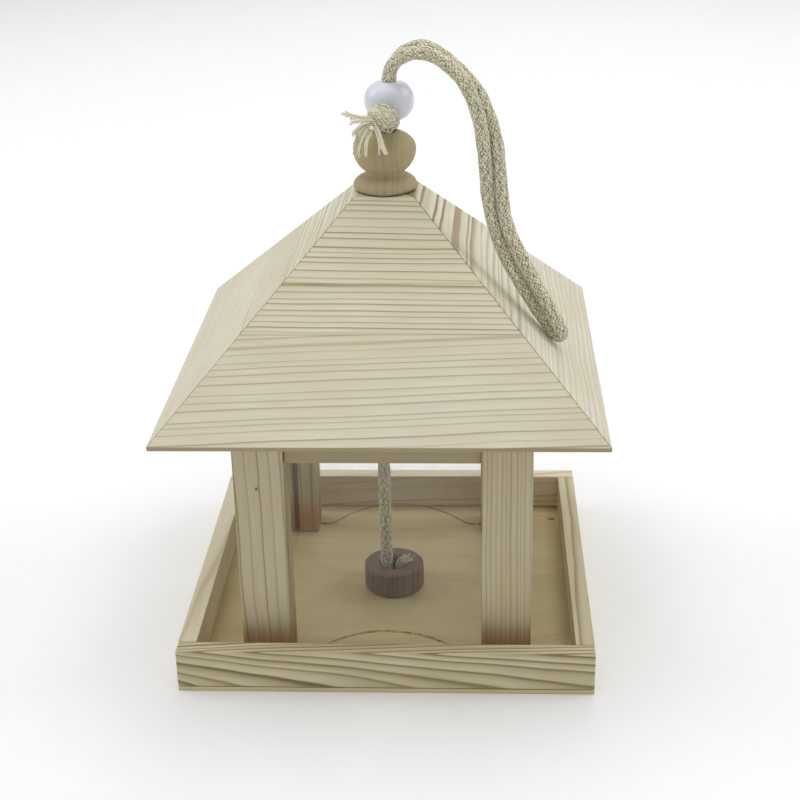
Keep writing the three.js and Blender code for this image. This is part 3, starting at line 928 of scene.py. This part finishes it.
def yarn_rings(path, radius, taper):
    """The rings of a two-ply yarn along a path of points in millimetres, and its groove depth."""
    side, other = carried_frames(path)
    turn = 2 * np.pi * np.arange(YARN_SIDES) / YARN_SIDES
    share = np.linspace(0, 1, len(path))
    twist = 2 * np.pi * np.arange(len(path)) * YARN_STEP / YARN_LAY
    ply = np.cos(2 * (turn[None, :] - twist[:, None]))
    reach = radius * (1 + 0.12 * ply) * (1 - (1 - taper) * share ** 3)[:, None]
    rings = (
        path[:, None, :]
        + reach[:, :, None] * np.cos(turn)[None, :, None] * side[:, None, :]
        + reach[:, :, None] * np.sin(turn)[None, :, None] * other[:, None, :]
    )
    # The yarns are crowded at the root and open towards their tips; painted shade makes them dark at the
    # root and between the plies, and pale towards their tips.
    groove = (0.66 + 0.24 * ply) * np.clip(0.35 + 1.2 * share, 0, 1)[:, None]
    return rings, groove


def yarn_bundle(name, yarns, radius):
    """One mesh of many yarns, each given as its route and its share of the radius."""
    points, faces, grooves, shades = [], [], [], []
    draw = random.Random(len(yarns))
    for route, size in yarns:
        path = smooth_route(route, YARN_STEP)
        rings, groove = yarn_rings(path, radius * size, taper=0.75)
        faces.extend(tube_faces(len(path), YARN_SIDES, len(points)))
        points.extend(rings.reshape(-1, 3).tolist())
        grooves.extend(groove.ravel().tolist())
        shades.extend([draw.random()] * groove.size)
    piece = mesh_piece(name, points, faces, YARN)
    add_values(piece, groove=grooves, shade=shades)
    return piece


def make_anchor():
    """The rope from the disc up into the finial, and its frayed end standing out of the disc."""
    strand = braided("anchor_rope", ANCHOR_ROUTE)
    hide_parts("anchor_strand")
    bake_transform(strand)

    tail = braided("anchor_tail", TAIL_ROUTE, swell=lambda s: 3.0 - 0.5 * max(0.0, s - 0.8) / 0.2)
    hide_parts("strand_tail")
    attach(tail, "tray")
    draw = random.Random(4)
    routes = []
    for _ in range(30):
        spin = draw.uniform(0, 2 * math.pi)
        out = math.sqrt(draw.random())
        base = np.array([4.2 + 2.1 * out * math.cos(spin), -0.5 + 2.1 * out * math.sin(spin), 15.4])
        lean = np.array([2.6 + 2.0 * out * math.cos(spin), -1.6 + 2.0 * out * math.sin(spin), 3.6])
        length = draw.uniform(0.6, 1.1)
        bend = np.array([draw.uniform(-0.9, 0.9), draw.uniform(-0.9, 0.9), draw.uniform(-0.5, 0.3)])
        middle = base + 0.5 * length * lean + bend * 0.5
        tip = base + length * lean + bend
        routes.append(([base, middle, tip], draw.uniform(0.8, 1.15)))
    fray = yarn_bundle("anchor_fray", routes, FRAY_YARN)
    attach(fray, "tray")


# The knot's middle, and where the rope's yarns come out of it.
KNOT_CENTRE = np.array([0.3, -15.4, 251.5])
FRAY_ROOT = np.array([-3.4, -19.0, 250.9])


def make_knot():
    """The stopper knot: a fat lobe over the front, and the turns that it covers."""

    def about_knot(*offsets):
        return [KNOT_CENTRE + offset for offset in offsets]

    lobe_route = about_knot(
        [-5.4, 0.4, 2.0], [-3.0, -0.8, 2.0], [0.2, -1.4, 0.8], [3.2, -0.8, -1.0], [5.6, 0.8, -2.6],
    )
    lobe = braided("knot_front", lobe_route, swell=lambda s: 1.0 + 3.1 * math.sin(math.pi * s) ** 0.55,
                   flat=0.95, strands=18, pitch=1.45, gap_shade_fade=0.1)
    turn_route = about_knot(
        [2.9, 4.6, -4.2], [4.8, 1.8, -3.0], [5.1, 0.2, -0.8], [3.1, 0.8, 2.2], [-0.5, 2.0, 3.2],
        [-3.7, 1.6, 2.1], [-4.6, 0.4, -0.4], [-3.4, -0.6, -2.5],
    )
    turn = braided("knot_turn", turn_route, swell=lambda s: 1.3 + 1.2 * min(1.0, 6 * s, 6 * (1 - s)))
    stub_route = [
        (2.6, -3.8, 248.7),
        (2.6, -4.2, 247.4),
        (2.2, -5.8, 245.8),
        (2.4, -9.4, 245.8),
        (2.8, -12.0, 247.2),
    ]
    stub = braided("knot_stub", stub_route, radius=2.6)
    under_route = about_knot([2.8, 3.0, -3.0], [1.4, 0.6, -3.0], [-1.0, -1.0, -2.4], [-2.9, -2.0, -1.2])
    under = braided("knot_under", under_route, swell=lambda s: 2.1 - 0.4 * s)
    pieces = [lobe, turn, stub, under]
    for piece in pieces:
        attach(piece, "bead")
    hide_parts("stopper_knot")
    return pieces


# Fans of yarn: where the tips lie and their scatter, how many yarns, and which way they bow.
FANS = [
    ((-12.4, -16.9, 235.4), (0.9, 0.6, 0.9), 5, (-1.6, -1.4, 2.0)),
    ((-10.2, -17.2, 234.6), (0.9, 0.6, 0.7), 4, (-1.4, -1.6, 1.6)),
    ((-7.4, -17.4, 235.2), (0.7, 0.6, 1.0), 3, (-0.8, -1.7, 1.0)),
    ((-1.6, -17.2, 235.8), (0.6, 0.5, 0.8), 3, (0.5, -1.6, -0.2)),
    ((1.7, -17.2, 235.3), (1.3, 0.5, 0.8), 6, (0.9, -1.6, -0.6)),
    ((-12.8, -18.0, 240.2), (1.0, 1.0, 1.8), 5, (-1.0, -0.8, 1.8)),
    ((-12.6, -18.8, 246.0), (1.1, 1.4, 2.2), 7, (-0.6, -0.6, 1.6)),
    ((-13.8, -18.6, 251.0), (1.4, 1.4, 1.8), 9, (-0.3, -0.3, 0.8)),
    ((-16.8, -18.6, 254.4), (1.5, 1.4, 1.3), 10, (-0.3, -0.3, 0.6)),
]


def make_tassel():
    """The knot's frayed yarns, in fans that start from one root."""
    draw = random.Random(11)

    def scatter(*sizes):
        return np.array([draw.uniform(-size, size) for size in sizes])

    yarns = []
    for end, spread, count, bow in FANS:
        for _ in range(count):
            tip = np.array(end) + scatter(*spread)
            root = FRAY_ROOT + scatter(1.1, 0.9, 1.3)
            near = root + 0.3 * (tip - root) + 0.8 * np.array(bow) + scatter(0.5, 0.5, 0.5)
            far = root + 0.7 * (tip - root) + 0.6 * np.array(bow) + scatter(0.9, 0.6, 0.5)
            inside = root + np.array([2.6, 2.0, 0.6])
            yarns.append(([inside, root, near, far, tip], draw.uniform(0.75, 1.05)))
    piece = yarn_bundle("tassel_yarns", yarns, TASSEL_YARN)
    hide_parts("knot_tassel")
    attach(piece, "bead")
    return piece


def make_loop():
    """The hanging rope: its neck under the bead, and the free loop."""
    neck = braided("neck_rope", NECK_ROUTE)
    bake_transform(neck)

    loop = braided("hanging_rope", LOOP_ROUTE)
    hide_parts("hanging_loop")
    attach(loop, "bead")
    spots = (smooth_route(LOOP_ROUTE, 1.5) * MM).tolist()


# Camera, light and floor.


def add_camera():
    """Yaw turns the view from +Y towards +X, pitch looks down and roll tips the picture."""
    data = bpy.data.cameras.new("camera")
    data.sensor_width = CAMERA_SENSOR
    data.lens = CAMERA_LENS
    camera = bpy.data.objects.new("camera", data)
    bpy.context.scene.collection.objects.link(camera)
    yaw, pitch, roll = (math.radians(angle) for angle in (CAMERA_YAW, CAMERA_PITCH, CAMERA_ROLL))
    ahead = Vector((math.sin(yaw) * math.cos(pitch), math.cos(yaw) * math.cos(pitch), -math.sin(pitch)))
    level = Vector((math.cos(yaw), -math.sin(yaw), 0))
    upright = level.cross(ahead)
    right = math.cos(roll) * level + math.sin(roll) * upright
    up = -math.sin(roll) * level + math.cos(roll) * upright
    turn = Matrix((right, up, -ahead)).transposed()
    camera.matrix_world = Matrix.Translation(CAMERA_PLACE) @ turn.to_4x4()
    data.clip_start = 0.01
    data.clip_end = 50
    bpy.context.scene.camera = camera


def add_light(name, place, target, size, power):
    """A soft round lamp, aimed at a point; metres and watts."""
    data = bpy.data.lights.new(name, "AREA")
    data.shape = "DISK"
    data.size = size
    data.energy = power
    light = bpy.data.objects.new(name, data)
    light.location = place
    light.rotation_euler = (Vector(target) - Vector(place)).to_track_quat("-Z", "Y").to_euler()
    bpy.context.scene.collection.objects.link(light)


def add_studio():
    """Plain soft light and a pale floor."""
    world = bpy.data.worlds.new("studio")
    bpy.context.scene.world = world
    world.use_nodes = True
    background = world.node_tree.nodes["Background"]
    background.inputs["Color"].default_value = (0.97, 0.985, 1.0, 1.0)
    background.inputs["Strength"].default_value = 0.46
    add_light("overhead", (0, 0, 2.4), (0, 0, 0), 3.0, 33)
    add_light("left", (-1.8, 0.3, 1.3), (0, 0, 0.1), 1.2, 9)
    add_light("right", (1.8, 0.3, 1.3), (0, 0, 0.1), 1.2, 9)
    add_light("back", (0.2, 2.0, 1.5), (0, 0, 0.1), 1.2, 8)

    size = 6.0
    corners = [(-size, -size, 0), (size, -size, 0), (size, size, 0), (-size, size, 0)]
    mesh = bpy.data.meshes.new("floor")
    mesh.from_pydata(corners, [], [(0, 1, 2, 3)])
    floor = bpy.data.objects.new("floor", mesh)
    # A hair below the tray, so that the two faces don't fight.
    floor.location.z = -0.0002
    tree = Tree("pale_floor")
    grain = tree.noise(tree.object_mm(), 0.02, 2.0)
    tree.links.new(tree.mix(grain, (243, 243, 243), (246, 246, 246)), tree.shader.inputs["Base Color"])
    tree.shader.inputs["Roughness"].default_value = 0.8
    mesh.materials.append(tree.material)
    bpy.context.scene.collection.objects.link(floor)
    bpy.context.scene.view_settings.view_transform = "Standard"


add_camera()
add_studio()
bead = make_bead()
knot = make_knot()
tassel = make_tassel()
make_loop()
make_anchor()
dress_roof()
dress_tray()
dress_posts()
dress_disc()
make_finial()
pane = clear_sheet()
for side in ("front", "back", "left", "right"):
    finish_node(f"hopper_pane_{side}", pane, bevel=0.15)
screw = steel_screws()
for name in NODES:
    if "screw" in name:
        finish_node(name, screw, bevel=0.08)
